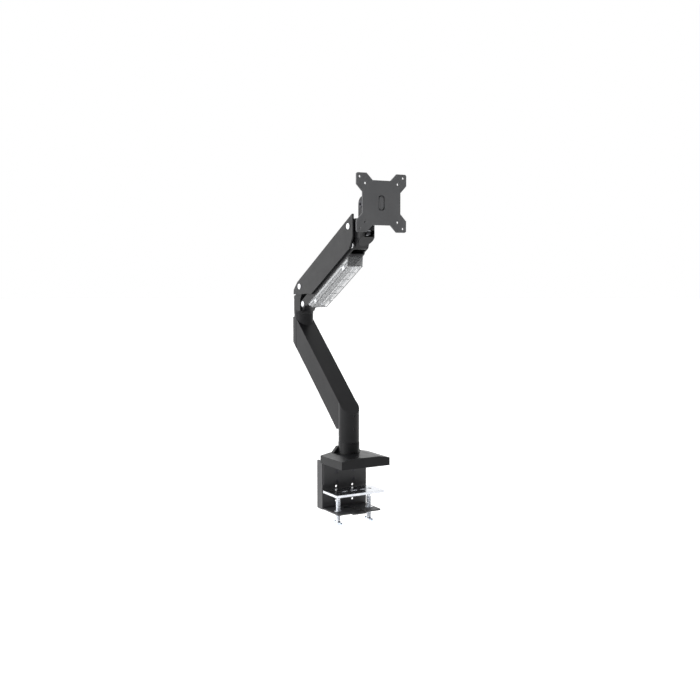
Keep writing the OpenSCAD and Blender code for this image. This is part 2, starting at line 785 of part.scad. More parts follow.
module clear_profile(inset)
  sloped(elbow_up, link_angle)
    polygon([[clear_u0 + inset, clear_v1], [clear_u0 + 14 + inset, clear_v0 + inset],
             [clear_u1 - 12 - inset, clear_v0 + inset], [clear_u1 - inset, clear_v1]]);

module clear_cover() color("#e8eef2", 0.45)
  difference() {
    union() {
      difference() {
        across(-clear_x, clear_x) clear_profile(0);
        across(-clear_x + clear_wall, clear_x - clear_wall)
          sloped(elbow_up, link_angle)
            polygon([[clear_u0 - 5, clear_v1 + 1], [clear_u0 + 8, clear_v0 + clear_wall],
                     [clear_u1 - 6, clear_v0 + clear_wall], [clear_u1 + 5, clear_v1 + 1]]);
      }
      // screw posts that meet the lower link
      for (u = cover_screw_u)
        on_member(at_link(u, clear_v0 + 1), link_angle)
          rotate([-90, 0, 0]) cylinder(r = 3.6, h = clear_d - 1);
    }
    for (u = cover_screw_u)
      on_member(at_link(u, clear_v0 - 1), link_angle)
        rotate([-90, 0, 0]) {
          cylinder(r = 1.7, h = clear_d + 5);
          cylinder(r = 3, h = 3.2);
        }
  }

module cover_screws() color(STEEL)
  for (u = cover_screw_u)
    on_member(at_link(u, clear_v0 + 0.4), link_angle)
      rotate([-90, 0, 0])
        difference() {
          union() {
            cylinder(r = 2.8, h = 1.8);
            cylinder(r = 1.5, h = clear_d + 4);
          }
          translate([0, 0, -1]) cylinder(r = 1.1, h = 2.2, $fn = 6);
        }

// gas spring, drawn in its own frame from the trunnion to the far pin
module on_spring() on_member(trunnion, spring_angle) children();

module spring_tube() color("#2a2b2e")
  on_spring()
    difference() {
      union() {
        translate([0, 0, 13]) cylinder(r = spring_r, h = tube_len - 13);
        translate([0, 0, 5]) cylinder(r = neck_r, h = 9);
        translate([-5, 0, 0]) rotate([0, 90, 0]) cylinder(r = 7, h = 10);
      }
      translate([0, 0, 17]) cylinder(r = spring_r - 1.5, h = tube_len);
      translate([-6, 0, 0]) rotate([0, 90, 0]) cylinder(r = 3 + run_fit, h = 12);
    }

module spring_gland() color("#a8abb0")
  on_spring()
    translate([0, 0, tube_len - 12])
      ring(spring_r - 1.5, rod_r + run_fit, 12);

module spring_rod() color("#e2e4e8")
  on_spring() {
    translate([0, 0, tube_len - 50]) cylinder(r = rod_r, h = spring_len - tube_len + 50 - 14);
    translate([0, 0, tube_len - 58]) cylinder(r = spring_r - 1.5 - run_fit, h = 8);
  }

module spring_eye() color("#a8abb0")
  on_spring()
    difference() {
      union() {
        translate([0, 0, spring_len - 20]) ring(6, rod_r, 6);
        translate([0, 0, spring_len - 14]) cylinder(r = 6, h = 6);
        translate([-5, 0, spring_len]) rotate([0, 90, 0]) cylinder(r = 9.5, h = 10);
      }
      for (v = [-2.6, 2.6])
        translate([-6, v, spring_len]) rotate([0, 90, 0]) cylinder(r = 4.2, h = 12);
      box([-6, -2.6, spring_len - 4.2], [6, 2.6, spring_len + 4.2]);
    }

// ---------------------------------------------------------------- head

nut_z = knuckle_top - 34;
seat_z = nut_z + 9;
washer_t = 1.6;
washer_z = seat_z - run_fit - washer_t;

module head_knuckle() color(BLACK)
  difference() {
    union() {
      difference() {
        post(0, swivel_y, barrel_r, head_low[1] - 10, knuckle_top);
        knuckle_undercut();
      }
      across(-barrel_r, barrel_r)
        polygon([[head_up[0] - 7, knuckle_top], [swivel_y, knuckle_top], [swivel_y, knuckle_top - 40],
                 [head_low[0] - 8, head_low[1] + 16], [head_up[0] - 3, head_low[1] + 16], head_up + [-6, 0]]);
      both_sides(3, cheek_x)
        translate(head_up) circle(r = 10);
      across(-barrel_r, barrel_r)
        strap(head_up, 10, head_up + [-12, 3], 12);
      across(-ear_x, ear_x) {
        translate(head_low) circle(r = 9);
        polygon([head_low + [9, 0], head_low + [9, 20], head_low + [-20, 26], head_low + [-26, 14],
                 head_low + [-6, -6.7]]);
      }
    }
    cross_rod(head_up, pin_r + run_fit, -50, 50);
    cross_rod(head_low, pin_r, -50, 50);
    post(0, swivel_y, swivel_r + 3, knuckle_top - 22, knuckle_top + 1);
    post(0, swivel_y, swivel_r + 0.4, nut_z - 5, knuckle_top);
    // window that reaches the swivel nut
    post(0, swivel_y, 11, nut_z - 4, seat_z);
    box([-11, swivel_y - barrel_r - 2, nut_z - 4], [11, swivel_y, seat_z]);
    fore_rod(7, knuckle_top - 14, 2 + run_fit, swivel_y - barrel_r - 2, swivel_y - 4);
  }

// the front of the knuckle slopes back underneath the barrel
module knuckle_undercut()
  across(-barrel_r - 1, barrel_r + 1)
    polygon([[swivel_y - barrel_r - 2, knuckle_top - 30], [head_low[0] - 4, head_low[1] - 9.5],
             [head_low[0] + 20, head_low[1] - 12], [swivel_y - barrel_r - 2, head_low[1] - 12]]);

module head_pin_lower() color("#d8d9dc") headed_pin(head_low, strut_w / 2 + run_fit, 1.1);

module swivel_bush() color("#151516")
  translate([0, swivel_y, knuckle_top - 22])
    difference() {
      union() {
        cylinder(r = swivel_r + 3, h = 22);
        translate([0, 0, 22]) cylinder(r = barrel_r - 0.5, h = gap - run_fit);
      }
      translate([0, 0, -1]) cylinder(r = swivel_r + run_fit, h = 30);
    }

module swivel_washer() color(STEEL)
  translate([0, swivel_y, washer_z]) ring(9.5, swivel_r - 1 + run_fit, washer_t);

module swivel_nut() color("#d4d6da")
  translate([0, swivel_y, nut_z])
    difference() {
      cylinder(r = 8.8, h = washer_z - nut_z, $fn = 6);
      translate([0, 0, -1]) cylinder(r = swivel_r - 1, h = 12);
    }

module friction_screw() color("#d4d6da")
  difference() {
    fore_rod(7, knuckle_top - 14, 2, swivel_y - 13.5, swivel_y - 9.5);
    translate([7, swivel_y - 12, knuckle_top - 14]) rotate([90, 0, 0]) cylinder(r = 1.1, h = 4, $fn = 6);
  }

yoke_z0 = knuckle_top + gap;
yoke_z1 = yoke_z0 + 6;

module tilt_yoke() color(BLACK)
  difference() {
    union() {
      post(0, swivel_y, barrel_r, yoke_z0, yoke_z1);
      both_sides(10, 16)
        union() {
          translate(tilt_c) circle(r = 16);
          polygon([tilt_c + [-16, 0], tilt_c + [16, 0], [tilt_c[0] + 16, yoke_z1 - 4],
                   [swivel_y - 12, yoke_z1 - 4], [swivel_y - 12, yoke_z1]]);
        }
    }
    post(0, swivel_y, swivel_r, yoke_z0 - 1, yoke_z1 + 1);
    cross_rod(tilt_c, tilt_r, -20, 20);
  }

module swivel_shaft() color(STEEL)
  translate([0, swivel_y, 0]) {
    post(0, 0, swivel_r, washer_z + washer_t, yoke_z1);
    post(0, 0, swivel_r - 1, nut_z - 1.5, washer_z + washer_t);
  }

module tilt_bolt() color(STEEL)
  difference() {
    union() {
      cross_rod(tilt_c, tilt_r, -16, 23);
      cross_rod(tilt_c, 6.8, -21, -16);
    }
    translate([-22, tilt_c[0], tilt_c[1]]) rotate([0, 90, 0]) cylinder(r = 3.4, h = 4, $fn = 6);
  }

module tilt_nut() color(STEEL)
  difference() {
    translate([17.2, tilt_c[0], tilt_c[1]]) rotate([0, 90, 0]) cylinder(r = 7.5, h = 5.5, $fn = 6);
    cross_rod(tilt_c, tilt_r, 0, 40);
  }

module tilt_washers() color(STEEL)
  difference() {
    union() {
      cross_rod(tilt_c, 9, 16, 17.2);
      cross_rod(tilt_c, 11, 8.9, 10);
      cross_rod(tilt_c, 11, -10, -8.9);
    }
    cross_rod(tilt_c, tilt_r, -30, 30);
  }

block_y = face_y + vesa_t + 12;
roll_r = 5;
roll_washer_t = 2;

module tilt_block() color(BLACK)
  difference() {
    union() {
      cross_rod(tilt_c, 12, -8.6, 8.6);
      fore_rod(0, tilt_c[1], 17.5, block_y, block_y + 9);
      box([-8.6, block_y + 1, tilt_c[1] - 12], [8.6, tilt_c[0], tilt_c[1] + 12]);
    }
    cross_rod(tilt_c, tilt_r + run_fit, -30, 30);
    fore_rod(0, tilt_c[1], roll_r + run_fit, block_y - 1, tilt_c[0] - 8);
  }

module roll_bolt() color(STEEL)
  translate([0, 0, tilt_c[1]])
    difference() {
      union() {
        fore_rod(0, 0, roll_r, face_y + vesa_t + 3, tilt_c[0] - 9);
        fore_rod(0, 0, 8.5, face_y + vesa_t + 0.6, face_y + vesa_t + 4 - run_fit);
      }
      translate([0, face_y + vesa_t + 2.6, 0]) rotate([90, 0, 0]) cylinder(r = 3.4, h = 4, $fn = 6);
    }

module roll_washer() color("#151516")
  translate([0, block_y, tilt_c[1]])
    rotate([90, 0, 0])
      ring(16.5, roll_r + run_fit, roll_washer_t);

// ---------------------------------------------------------------- VESA plate

module vesa_hub() color(BLACK)
  difference() {
    fore_rod(0, tilt_c[1], 19, face_y + vesa_t, block_y - roll_washer_t - run_fit);
    fore_rod(0, tilt_c[1], roll_r + run_fit, face_y, block_y);
    fore_rod(0, tilt_c[1], 9, face_y, face_y + vesa_t + 4);
    for (a = [45:90:315])
      fore_rod(15 * cos(a), tilt_c[1] + 15 * sin(a), 1.5, face_y, face_y + vesa_t + 8);
  }

lobe = vesa_w / 2;
vesa_slot_r = 4.8;
cap_sink = 0.8;
fit_gap = 0.15;
lobe_in = lobe - 22.7;
waist = lobe - 13.7;
waist_in = lobe_in - 14;

module vesa_outline()
  difference() {
    round_rect([-lobe, -lobe], [lobe, lobe], 4);
    for (a = [0:90:270])
      rotate(a)
        polygon([[-lobe - 1, lobe_in + 1], [-waist, waist_in], [-waist, -waist_in], [-lobe - 1, -lobe_in - 1]]);
  }

module vesa_plate() color("#55565a")
  translate([0, face_y + vesa_t, tilt_c[1]])
    rotate([90, 0, 0])
      linear_extrude(vesa_t)
        difference() {
          vesa_outline();
          for (h = [50, 37.5], x = [-h, h], y = [-h, h])
            translate([x, y]) circle(r = vesa_hole_r);
          round_rect([-vesa_slot_w / 2, -vesa_slot_h / 2], [vesa_slot_w / 2, vesa_slot_h / 2], vesa_slot_r);
          for (a = [45:90:315])
            translate([15 * cos(a), 15 * sin(a)]) circle(r = 1.7);
        }

// oblong cap in the slot, over the roll bolt
module plate_cap() color("#55565a")
  translate([0, face_y + vesa_t, tilt_c[1]])
    rotate([90, 0, 0])
      linear_extrude(vesa_t - cap_sink)
        round_rect([-vesa_slot_w / 2 + fit_gap, -vesa_slot_h / 2 + fit_gap],
                   [vesa_slot_w / 2 - fit_gap, vesa_slot_h / 2 - fit_gap], vesa_slot_r - fit_gap);

module plate_screws() color("#3a3b3e")
  for (a = [45:90:315])
    fore_rod(15 * cos(a), tilt_c[1] + 15 * sin(a), 1.5, face_y + 0.2, face_y + vesa_t + 7);

desk_pad();
base_plate();
base_cover();
base_post();
post_bolts();
swivel_stud();
hub_bush();
lower_bracket();
bracket_screws();
bracket_nuts();
clamp_nuts();
pressure_plate();
screw_feet();
clamp_screw_left();
clamp_screw_right();
tommy_bar_left();
tommy_bar_right();
lower_arm();
lower_cable_cover();
hub_screws();
elbow_bush_top();
elbow_bush_low();
elbow_bracket();
elbow_shaft();
elbow_washer();
elbow_bolt();
elbow_pin_upper();
elbow_pin_lower();
spring_trunnion();
tension_screw();
main_link();
spring_pin();
head_pin_upper();
link_bushes();
lower_link();
clear_cover();
cover_screws();
spring_tube();
spring_gland();
spring_rod();
spring_eye();
head_knuckle();
head_pin_lower();
swivel_bush();
swivel_nut();
swivel_washer();
friction_screw();
tilt_yoke();
swivel_shaft();
tilt_bolt();
tilt_nut();
tilt_washers();
tilt_block();
roll_bolt();
roll_washer();
vesa_hub();
vesa_plate();
plate_cap();
plate_screws();
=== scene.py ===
import json
from math import cos, pi, radians, sin

import bmesh
import bpy
from mathutils import Matrix, Vector


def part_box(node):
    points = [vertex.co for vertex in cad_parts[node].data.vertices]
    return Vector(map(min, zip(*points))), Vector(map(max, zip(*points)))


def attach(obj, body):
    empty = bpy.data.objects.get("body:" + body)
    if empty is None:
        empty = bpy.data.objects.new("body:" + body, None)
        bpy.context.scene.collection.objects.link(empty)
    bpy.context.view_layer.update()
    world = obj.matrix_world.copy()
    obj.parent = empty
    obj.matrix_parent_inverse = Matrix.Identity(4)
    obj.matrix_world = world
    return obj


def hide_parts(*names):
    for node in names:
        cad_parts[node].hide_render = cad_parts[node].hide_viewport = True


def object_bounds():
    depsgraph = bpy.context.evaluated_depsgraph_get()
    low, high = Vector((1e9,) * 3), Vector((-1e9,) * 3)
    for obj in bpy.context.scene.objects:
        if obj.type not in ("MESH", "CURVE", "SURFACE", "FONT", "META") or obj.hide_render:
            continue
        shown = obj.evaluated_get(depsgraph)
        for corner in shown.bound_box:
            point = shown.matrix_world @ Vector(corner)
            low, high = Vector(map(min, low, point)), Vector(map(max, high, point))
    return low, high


MM = 0.001
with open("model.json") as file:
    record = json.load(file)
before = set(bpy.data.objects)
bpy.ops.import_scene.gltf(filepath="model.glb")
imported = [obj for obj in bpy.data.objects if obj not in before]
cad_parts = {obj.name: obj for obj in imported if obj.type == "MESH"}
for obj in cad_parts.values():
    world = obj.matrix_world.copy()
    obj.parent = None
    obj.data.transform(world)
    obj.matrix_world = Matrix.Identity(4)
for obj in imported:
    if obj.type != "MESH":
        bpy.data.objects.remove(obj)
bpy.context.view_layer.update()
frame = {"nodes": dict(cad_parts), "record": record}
record = frame["record"]
scene = bpy.context.scene

BODY_OF = {node: body for body, nodes in record["behaviour"]["bodies"].items() for node in nodes}
SLOT_OF = {part["node"]: part["material_slot"] for part in record["subparts"]}

# a face larger than this is shaded flat, with the faces beside it whose normals agree this closely
FLAT_AREA = 90 * MM * MM
SAME_PLANE = 0.9999
# vertices nearer than this, in metres, are welded, and edges flatter than this, in degrees, dissolved
WELD = 2e-6
FLAT_EDGE = 0.05
# edges sharper than this, in degrees, are rounded
BEVEL_ANGLE = 32

# how much each node's edges are rounded, in millimetres; 0 leaves them sharp
ROUNDING = {
    "desk_pad": 0.4,
    "base_plate": 0.6,
    "base_cover": 1.4,
    "base_post": 1.0,
    "hub_bush": 0.15,
    "lower_bracket": 0.5,
    "bracket_screws": 0.4,
    "bracket_nuts": 0.3,
    "clamp_nuts": 0.3,
    "pressure_plate": 0.5,
    "screw_feet": 0.4,
    "lower_arm": 0,
    "lower_cable_cover": 0.6,
    "hub_screws": 0.3,
    "elbow_bush_top": 0.15,
    "elbow_bolt": 0.5,
    "elbow_bracket": 1.2,
    "elbow_pin_upper": 0.35,
    "elbow_pin_lower": 0.3,
    "head_pin_upper": 0.35,
    "head_pin_lower": 0.3,
    "main_link": 0.8,
    "lower_link": 0.6,
    "clear_cover": 0.4,
    "cover_screws": 0.3,
    "spring_tube": 0.8,
    "spring_gland": 0.3,
    "spring_eye": 0.5,
    "head_knuckle": 1.0,
    "swivel_nut": 0.4,
    "tilt_yoke": 0.8,
    "tilt_bolt": 0.4,
    "tilt_nut": 0.4,
    "tilt_washers": 0.2,
    "tilt_block": 0.8,
    "roll_bolt": 0.4,
    "roll_washer": 0.3,
    "vesa_hub": 0.6,
    "vesa_plate": 0,
}

# the clear cover, in millimetres: how far its ends slope in, how far its rims stand proud,
# the step above its lower edge, the rail below its upper edge, and its clips from the ends of its flat
REAR_SLOPE, FRONT_SLOPE = 14, 12
PROUD = 0.35
STEP = (8.2, 8.9)
RAIL = (2.6, 1.5)
REAR_CLIP, FRONT_CLIP = 22, 16
RIBS = 5

# rivets and pins, in millimetres: how far a painted end lies under the face round it
PIN_SUNK = 0.02
RIVET_SUNK = 0.04
RIVET_R = 1.69
RIVET_HEAD_R = 1.5

# the cap in the screen plate: (inset from its outline, depth behind its face) from back to front
CAP_RINGS = ((0.9, None), (0.9, 0.9), (1.2, 0.3), (1.9, 0.0), (3.4, 0.12))

# the clamp screws, in millimetres; a groove is as wide as this share of the pitch, each side
THREAD_PITCH = 1.5
THREAD_DEPTH = 0.85
GROOVE_HALF = 0.36
ROWS_PER_TURN = 6
SPIGOT_LENGTH, SPIGOT_R, SPIGOT_TIP_R = 9.2, 3.95, 3.2
KNOB_LENGTH, ROD_R = 4.5, 2.45

# the studio, in metres, watts and degrees
FLOOR_DROP = 0.3
FLOOR_GLOW = 0.40
BRIGHT_SIDE = (-0.62, 0.75, 0.22)
DIM, BRIGHT = 0.12, 1.9
SENSOR_MM, LENS_MM = 36, 51.64
CAMERA_PLACE = (-1.05024, -1.82693, 0.40227)
AZIMUTH, ELEVATION = radians(-29.96), radians(4.41)


# ---------------------------------------------------------------- materials


class Nodes:
    """A short way to write a node tree."""

    def __init__(self, tree):
        self.tree = tree

    def add(self, kind, **settings):
        node = self.tree.nodes.new(kind)
        for key, value in settings.items():
            if hasattr(node, key):
                setattr(node, key, value)
            else:
                node.inputs[key.replace("_", " ")].default_value = value
        return node

    def link(self, source, target):
        self.tree.links.new(source, target)


def new_material(name):
    mat = bpy.data.materials.new(name)
    mat.use_nodes = True
    nodes = Nodes(mat.node_tree)
    shader = mat.node_tree.nodes["Principled BSDF"]
    coords = nodes.add("ShaderNodeTexCoord")
    return mat, nodes, shader, coords.outputs["Object"]


def noise(nodes, coords, scale, detail=2.0, stretch=None):
    if stretch:
        mapping = nodes.add("ShaderNodeMapping")
        mapping.inputs["Scale"].default_value = stretch
        nodes.link(coords, mapping.inputs["Vector"])
        coords = mapping.outputs["Vector"]
    tex = nodes.add("ShaderNodeTexNoise")
    tex.inputs["Scale"].default_value = scale
    tex.inputs["Detail"].default_value = detail
    nodes.link(coords, tex.inputs["Vector"])
    return tex.outputs["Fac"]


def spread(nodes, value, low, high, from_low=0.3, from_high=0.7):
    ranged = nodes.add("ShaderNodeMapRange")
    ranged.inputs["From Min"].default_value = from_low
    ranged.inputs["From Max"].default_value = from_high
    ranged.inputs["To Min"].default_value = low
    ranged.inputs["To Max"].default_value = high
    nodes.link(value, ranged.inputs["Value"])
    return ranged.outputs["Result"]


def tint(nodes, value, dark, light):
    ramp = nodes.add("ShaderNodeValToRGB")
    ramp.color_ramp.elements[0].position = 0.3
    ramp.color_ramp.elements[1].position = 0.7
    ramp.color_ramp.elements[0].color = (*dark, 1)
    ramp.color_ramp.elements[1].color = (*light, 1)
    nodes.link(value, ramp.inputs["Fac"])
    return ramp.outputs["Color"]


def bump(nodes, shader, value, distance, under=None):
    node = nodes.add("ShaderNodeBump")
    node.inputs["Strength"].default_value = 1.0
    node.inputs["Distance"].default_value = distance
    nodes.link(value, node.inputs["Height"])
    if under:
        nodes.link(under, node.inputs["Normal"])
    nodes.link(node.outputs["Normal"], shader.inputs["Normal"])
    return node.outputs["Normal"]


def coated(name, dark, light, rough, grain_mm, depth_mm, specular=0.5, coat=0.0):
    """Paint or moulded plastic: an even colour, a fine grain and faint handling marks."""
    mat, nodes, shader, coords = new_material(name)
    patches = noise(nodes, coords, 22, 3)
    nodes.link(tint(nodes, patches, dark, light), shader.inputs["Base Color"])
    smears = noise(nodes, coords, 60, 4)
    handling = 0.04
    nodes.link(spread(nodes, smears, rough - handling, rough + handling), shader.inputs["Roughness"])
    grain = noise(nodes, coords, 1 / (grain_mm * MM), 1.5)
    first = bump(nodes, shader, grain, depth_mm * MM)
    flow = noise(nodes, coords, 1 / (grain_mm * 9 * MM), 1)
    bump(nodes, shader, flow, depth_mm * 2.2 * MM, under=first)
    shader.inputs["Specular IOR Level"].default_value = specular
    shader.inputs["Coat Weight"].default_value = coat
    shader.inputs["Coat Roughness"].default_value = 0.12
    return mat


def metal(name, dark, light, rough, brush=(1, 1, 1), scratch_mm=0.002):
    """Bare or plated metal: brushed or turned marks, dull patches and fine scratches."""
    mat, nodes, shader, coords = new_material(name)
    shader.inputs["Metallic"].default_value = 1.0
    patches = noise(nodes, coords, 90, 4)
    nodes.link(tint(nodes, patches, dark, light), shader.inputs["Base Color"])
    marks = noise(nodes, coords, 700, 3, brush)
    nodes.link(spread(nodes, marks, rough * 0.75, rough * 1.3), shader.inputs["Roughness"])
    bump(nodes, shader, marks, scratch_mm * MM)
    return mat


def clear(name, low=0.05, high=0.34, shade=(0.55, 0.56, 0.57)):
    """Clear moulded plastic: a thin glossy wall, faintly smoky, its colour painted dark grey where it is
    seen edge on and along its rims, a painted shade for the dark outlines light makes through it.
    """
    mat, nodes, shader, coords = new_material(name)
    flow = noise(nodes, coords, 14, 1, (1, 0.4, 0.4))
    facing = nodes.add("ShaderNodeLayerWeight")
    facing.inputs["Blend"].default_value = 0.5
    body = tint(nodes, flow, shade, tuple(1.25 * c for c in shade))
    # painted shade: the base colour goes dark grey as the wall is seen edge on, standing in for the dark
    # outlines that light through clear plastic shows
    rim = nodes.add("ShaderNodeMix", data_type="RGBA")
    nodes.link(spread(nodes, facing.outputs["Facing"], 0.0, 1.0, 0.60, 0.95), rim.inputs[0])
    nodes.link(body, rim.inputs[6])
    rim.inputs[7].default_value = (0.05, 0.052, 0.055, 1)
    nodes.link(rim.outputs[2], shader.inputs["Base Color"])
    nodes.link(spread(nodes, flow, 0.14, 0.22), shader.inputs["Roughness"])
    nodes.link(spread(nodes, facing.outputs["Facing"], low, high, 0.10, 0.80), shader.inputs["Alpha"])
    return mat


MATERIALS = {
    "pad_rubber": coated("rubber pad", (0.012, 0.012, 0.013), (0.020, 0.020, 0.021),
                         rough=0.78, grain_mm=0.8, depth_mm=0.05, specular=0.3),
    "black_powder": coated("black powder coat", (0.013, 0.013, 0.014), (0.017, 0.017, 0.018),
                           rough=0.38, grain_mm=0.45, depth_mm=0.010, specular=0.20),
    "black_cast": coated("black cast paint", (0.008, 0.008, 0.009), (0.011, 0.011, 0.012),
                         rough=0.32, grain_mm=0.7, depth_mm=0.010, specular=0.17),
    "cover_plastic": coated("grained black plastic", (0.007, 0.007, 0.008), (0.010, 0.010, 0.011),
                            rough=0.34, grain_mm=0.35, depth_mm=0.010, specular=0.17),
    "cable_cover_plastic": coated("satin plastic", (0.010, 0.010, 0.011), (0.014, 0.014, 0.015),
                                  rough=0.36, grain_mm=0.5, depth_mm=0.01, specular=0.20),
    "plate_powder": coated("matte grey powder", (0.082, 0.083, 0.086), (0.094, 0.095, 0.098),
                           rough=0.60, grain_mm=0.4, depth_mm=0.014, specular=0.4),
    "bearing_plastic": coated("black bearing plastic", (0.008, 0.008, 0.009), (0.012, 0.012, 0.013),
                              rough=0.24, grain_mm=1.2, depth_mm=0.004),
    "bush_plastic": coated("natural bearing plastic", (0.50, 0.46, 0.34), (0.58, 0.53, 0.41),
                           rough=0.42, grain_mm=0.9, depth_mm=0.006),
    "spring_paint": coated("gloss spring paint", (0.018, 0.018, 0.020), (0.024, 0.024, 0.026),
                           rough=0.22, grain_mm=1.5, depth_mm=0.004, coat=0.3),
    "zinc_plate": metal("bright zinc plate", (0.60, 0.62, 0.66), (0.72, 0.74, 0.77),
                        rough=0.22, brush=(1, 0.08, 1)),
    "bright_steel": metal("turned steel", (0.52, 0.53, 0.56), (0.62, 0.63, 0.66),
                          rough=0.28, brush=(1, 1, 6)),
    "nickel": metal("bright nickel", (0.74, 0.75, 0.77), (0.84, 0.85, 0.87),
                    rough=0.16, scratch_mm=0.001),
    "handle_steel": metal("bluish bright plate", (0.52, 0.58, 0.68), (0.62, 0.68, 0.78),
                          rough=0.20, brush=(1, 0.1, 1)),
    "black_steel": metal("black oxide", (0.045, 0.045, 0.050), (0.070, 0.070, 0.076), rough=0.36),
    "rod_chrome": metal("ground chrome", (0.78, 0.79, 0.81), (0.84, 0.85, 0.87),
                        rough=0.08, brush=(1, 1, 8), scratch_mm=0.0005),
    "clear_plastic": clear("clear moulded plastic"),
}
# painted shade: the clear cover's lips, rails, steps, ribs, end walls and hooks are coloured near black,
# standing in for the dark lines light takes along the edges of clear plastic
RIM_PAINTED_DARK = clear("clear rim painted dark", 0.55, 0.9, (0.07, 0.072, 0.075))
# painted reflection: the outer wall over the black link is a more opaque grey, standing in for the light
# the clear wall reflects seen at a slant
WALL_PAINTED_REFLECTION = clear("clear wall with painted reflection", 0.30, 0.50, (0.45, 0.46, 0.47))
# painted highlight: the clips of the clear cover are a light grey, more opaque at a slant, standing in for
# the highlight on them
BOSS_PAINTED_HIGHLIGHT = clear("clear boss with painted highlight", 0.35, 0.8, (0.70, 0.72, 0.74))
# a lighter black than the powder coat: partly the sheet's own satin finish, partly painted light that
# brightens the clamp's walls where they lie in shade
SATIN_SHEET_WITH_PAINTED_LIGHT = coated("satin black sheet with painted light", (0.030, 0.030, 0.032), (0.038, 0.038, 0.040),
                     rough=0.46, grain_mm=0.5, depth_mm=0.010, specular=0.4)


# ---------------------------------------------------------------- mesh helpers


def middle_of(node):
    lo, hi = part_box(node)
    return (lo + hi) / 2


def finish_piece(obj, node, smooth=35, replace=True):
    """Shades a piece, gives it its node's material and lets it ride on its node's body."""
    name = SLOT_OF[node]
    obj.data.materials.clear()
    obj.data.materials.append(MATERIALS[name])
    bm = bmesh.new()
    bm.from_mesh(obj.data)
    for face in bm.faces:
        face.smooth = face.calc_area() < FLAT_AREA
    flats = [face for face in bm.faces if not face.smooth]
    while flats:
        plane = flats.pop()
        for edge in plane.edges:
            for face in edge.link_faces:
                if face.smooth and face.normal.dot(plane.normal) > SAME_PLANE:
                    face.smooth = False
                    flats.append(face)
    for edge in bm.edges:
        if len(edge.link_faces) == 2 and edge.calc_face_angle(0) > radians(smooth):
            edge.smooth = False
    bm.to_mesh(obj.data)
    bm.free()
    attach(obj, BODY_OF[node])
    if replace:
        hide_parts(node)
    return obj


def mesh_object(name, bm):
    mesh = bpy.data.meshes.new(name)
    bm.normal_update()
    bm.to_mesh(mesh)
    bm.free()
    obj = bpy.data.objects.new(name, mesh)
    scene.collection.objects.link(obj)
    return obj


def bevel(obj, width, segments=3):
    """Rounds the sharp edges of a mesh and applies the result."""
    mod = obj.modifiers.new("bevel", "BEVEL")
    mod.width = width
    mod.segments = segments
    mod.limit_method = "ANGLE"
    mod.angle_limit = radians(BEVEL_ANGLE)
    mod.use_clamp_overlap = True
    mod.loop_slide = False
    depsgraph = bpy.context.evaluated_depsgraph_get()
    made = bpy.data.meshes.new_from_object(obj.evaluated_get(depsgraph))
    obj.modifiers.clear()
    old, obj.data = obj.data, made
    bpy.data.meshes.remove(old)


def rounded(node, width_mm):
    """The CAD node's shape, its edges rounded as a casting, moulding or pressing has them."""
    bm = bmesh.new()
    bm.from_mesh(frame["nodes"][node].data)
    bmesh.ops.remove_doubles(bm, verts=bm.verts, dist=WELD)
    if width_mm:
        bmesh.ops.dissolve_limit(bm, angle_limit=radians(FLAT_EDGE), verts=[], edges=bm.edges)
    obj = mesh_object(node + "_finished", bm)
    if width_mm:
        bevel(obj, width_mm * MM)
    finish_piece(obj, node)


def bridge(bm, a, b):
    """Joins two rings of vertices with quads."""
    for k in range(len(a)):
        n = (k + 1) % len(a)
        bm.faces.new((a[k], a[n], b[n], b[k]))


def turned(name, profile, place, axis, segments):
    """A turned piece: (radius, height) pairs in millimetres, spun about an axis through place."""
    bm = bmesh.new()
    rings = []
    for radius, height in profile:
        ring = []
        for k in range(segments):
            angle = 2 * pi * k / segments
            ring.append(bm.verts.new((radius * cos(angle) * MM, radius * sin(angle) * MM, height * MM)))
        rings.append(ring)
    for a, b in zip(rings, rings[1:]):
        bridge(bm, a, b)
    bm.faces.new(list(reversed(rings[0])))
    bm.faces.new(rings[-1])
    turn = Vector((0, 0, 1)).rotation_difference(Vector(axis)).to_matrix().to_4x4()
    bm.transform(Matrix.Translation(Vector(place)) @ turn)
    return mesh_object(name, bm)


def thread_profile(radius, z0, z1, angle):
    """Radii and heights of a rolled thread at one angle round the screw."""
    rows = []
    steps = int((z1 - z0) / THREAD_PITCH * ROWS_PER_TURN)
    for k in range(steps + 1):
        z = z0 + (z1 - z0) * k / steps
        phase = (z / THREAD_PITCH - angle / (2 * pi)) % 1.0
        groove = max(0.0, 1 - abs(phase - 0.5) / GROOVE_HALF)
        fade = min(1.0, (z - z0) / THREAD_PITCH, (z1 - z) / THREAD_PITCH)
        rows.append((radius - THREAD_DEPTH * groove * max(0.0, fade), z))
    return rows


def threaded(name, place, below, radius, z0, z1, above, segments=32):
    """A screw: turned profile below, a rolled thread from z0 to z1, and a turned profile above it."""
    bm = bmesh.new()
    columns = []
    for k in range(segments):
        angle = 2 * pi * k / segments
        rows = below + thread_profile(radius, z0, z1, angle) + above
        columns.append([bm.verts.new((r * cos(angle) * MM, r * sin(angle) * MM, z * MM)) for r, z in rows])
    for k in range(segments):
        a, b = columns[k], columns[(k + 1) % segments]
        for i in range(len(a) - 1):
            bm.faces.new((a[i], b[i], b[i + 1], a[i + 1]))
    bm.faces.new([column[0] for column in reversed(columns)])
    bm.faces.new([column[-1] for column in columns])
    bm.transform(Matrix.Translation(Vector(place)))
    return mesh_object(name, bm)


# ---------------------------------------------------------------- pieces

ELBOW, HEAD = middle_of("elbow_pin_upper"), middle_of("head_pin_upper")
ALONG = (HEAD - ELBOW).normalized()
UP = ALONG.cross(Vector((1, 0, 0)))


def arm_extent(node):
    """Least and greatest (along, up) of a node and its half width, in millimetres."""
    points = [(v.co - ELBOW) / MM for v in frame["nodes"][node].data.vertices]
    along = [q.dot(ALONG) for q in points]
    up = [q.dot(UP) for q in points]
    return min(along), max(along), min(up), max(up), max(abs(q.x) for q in points)


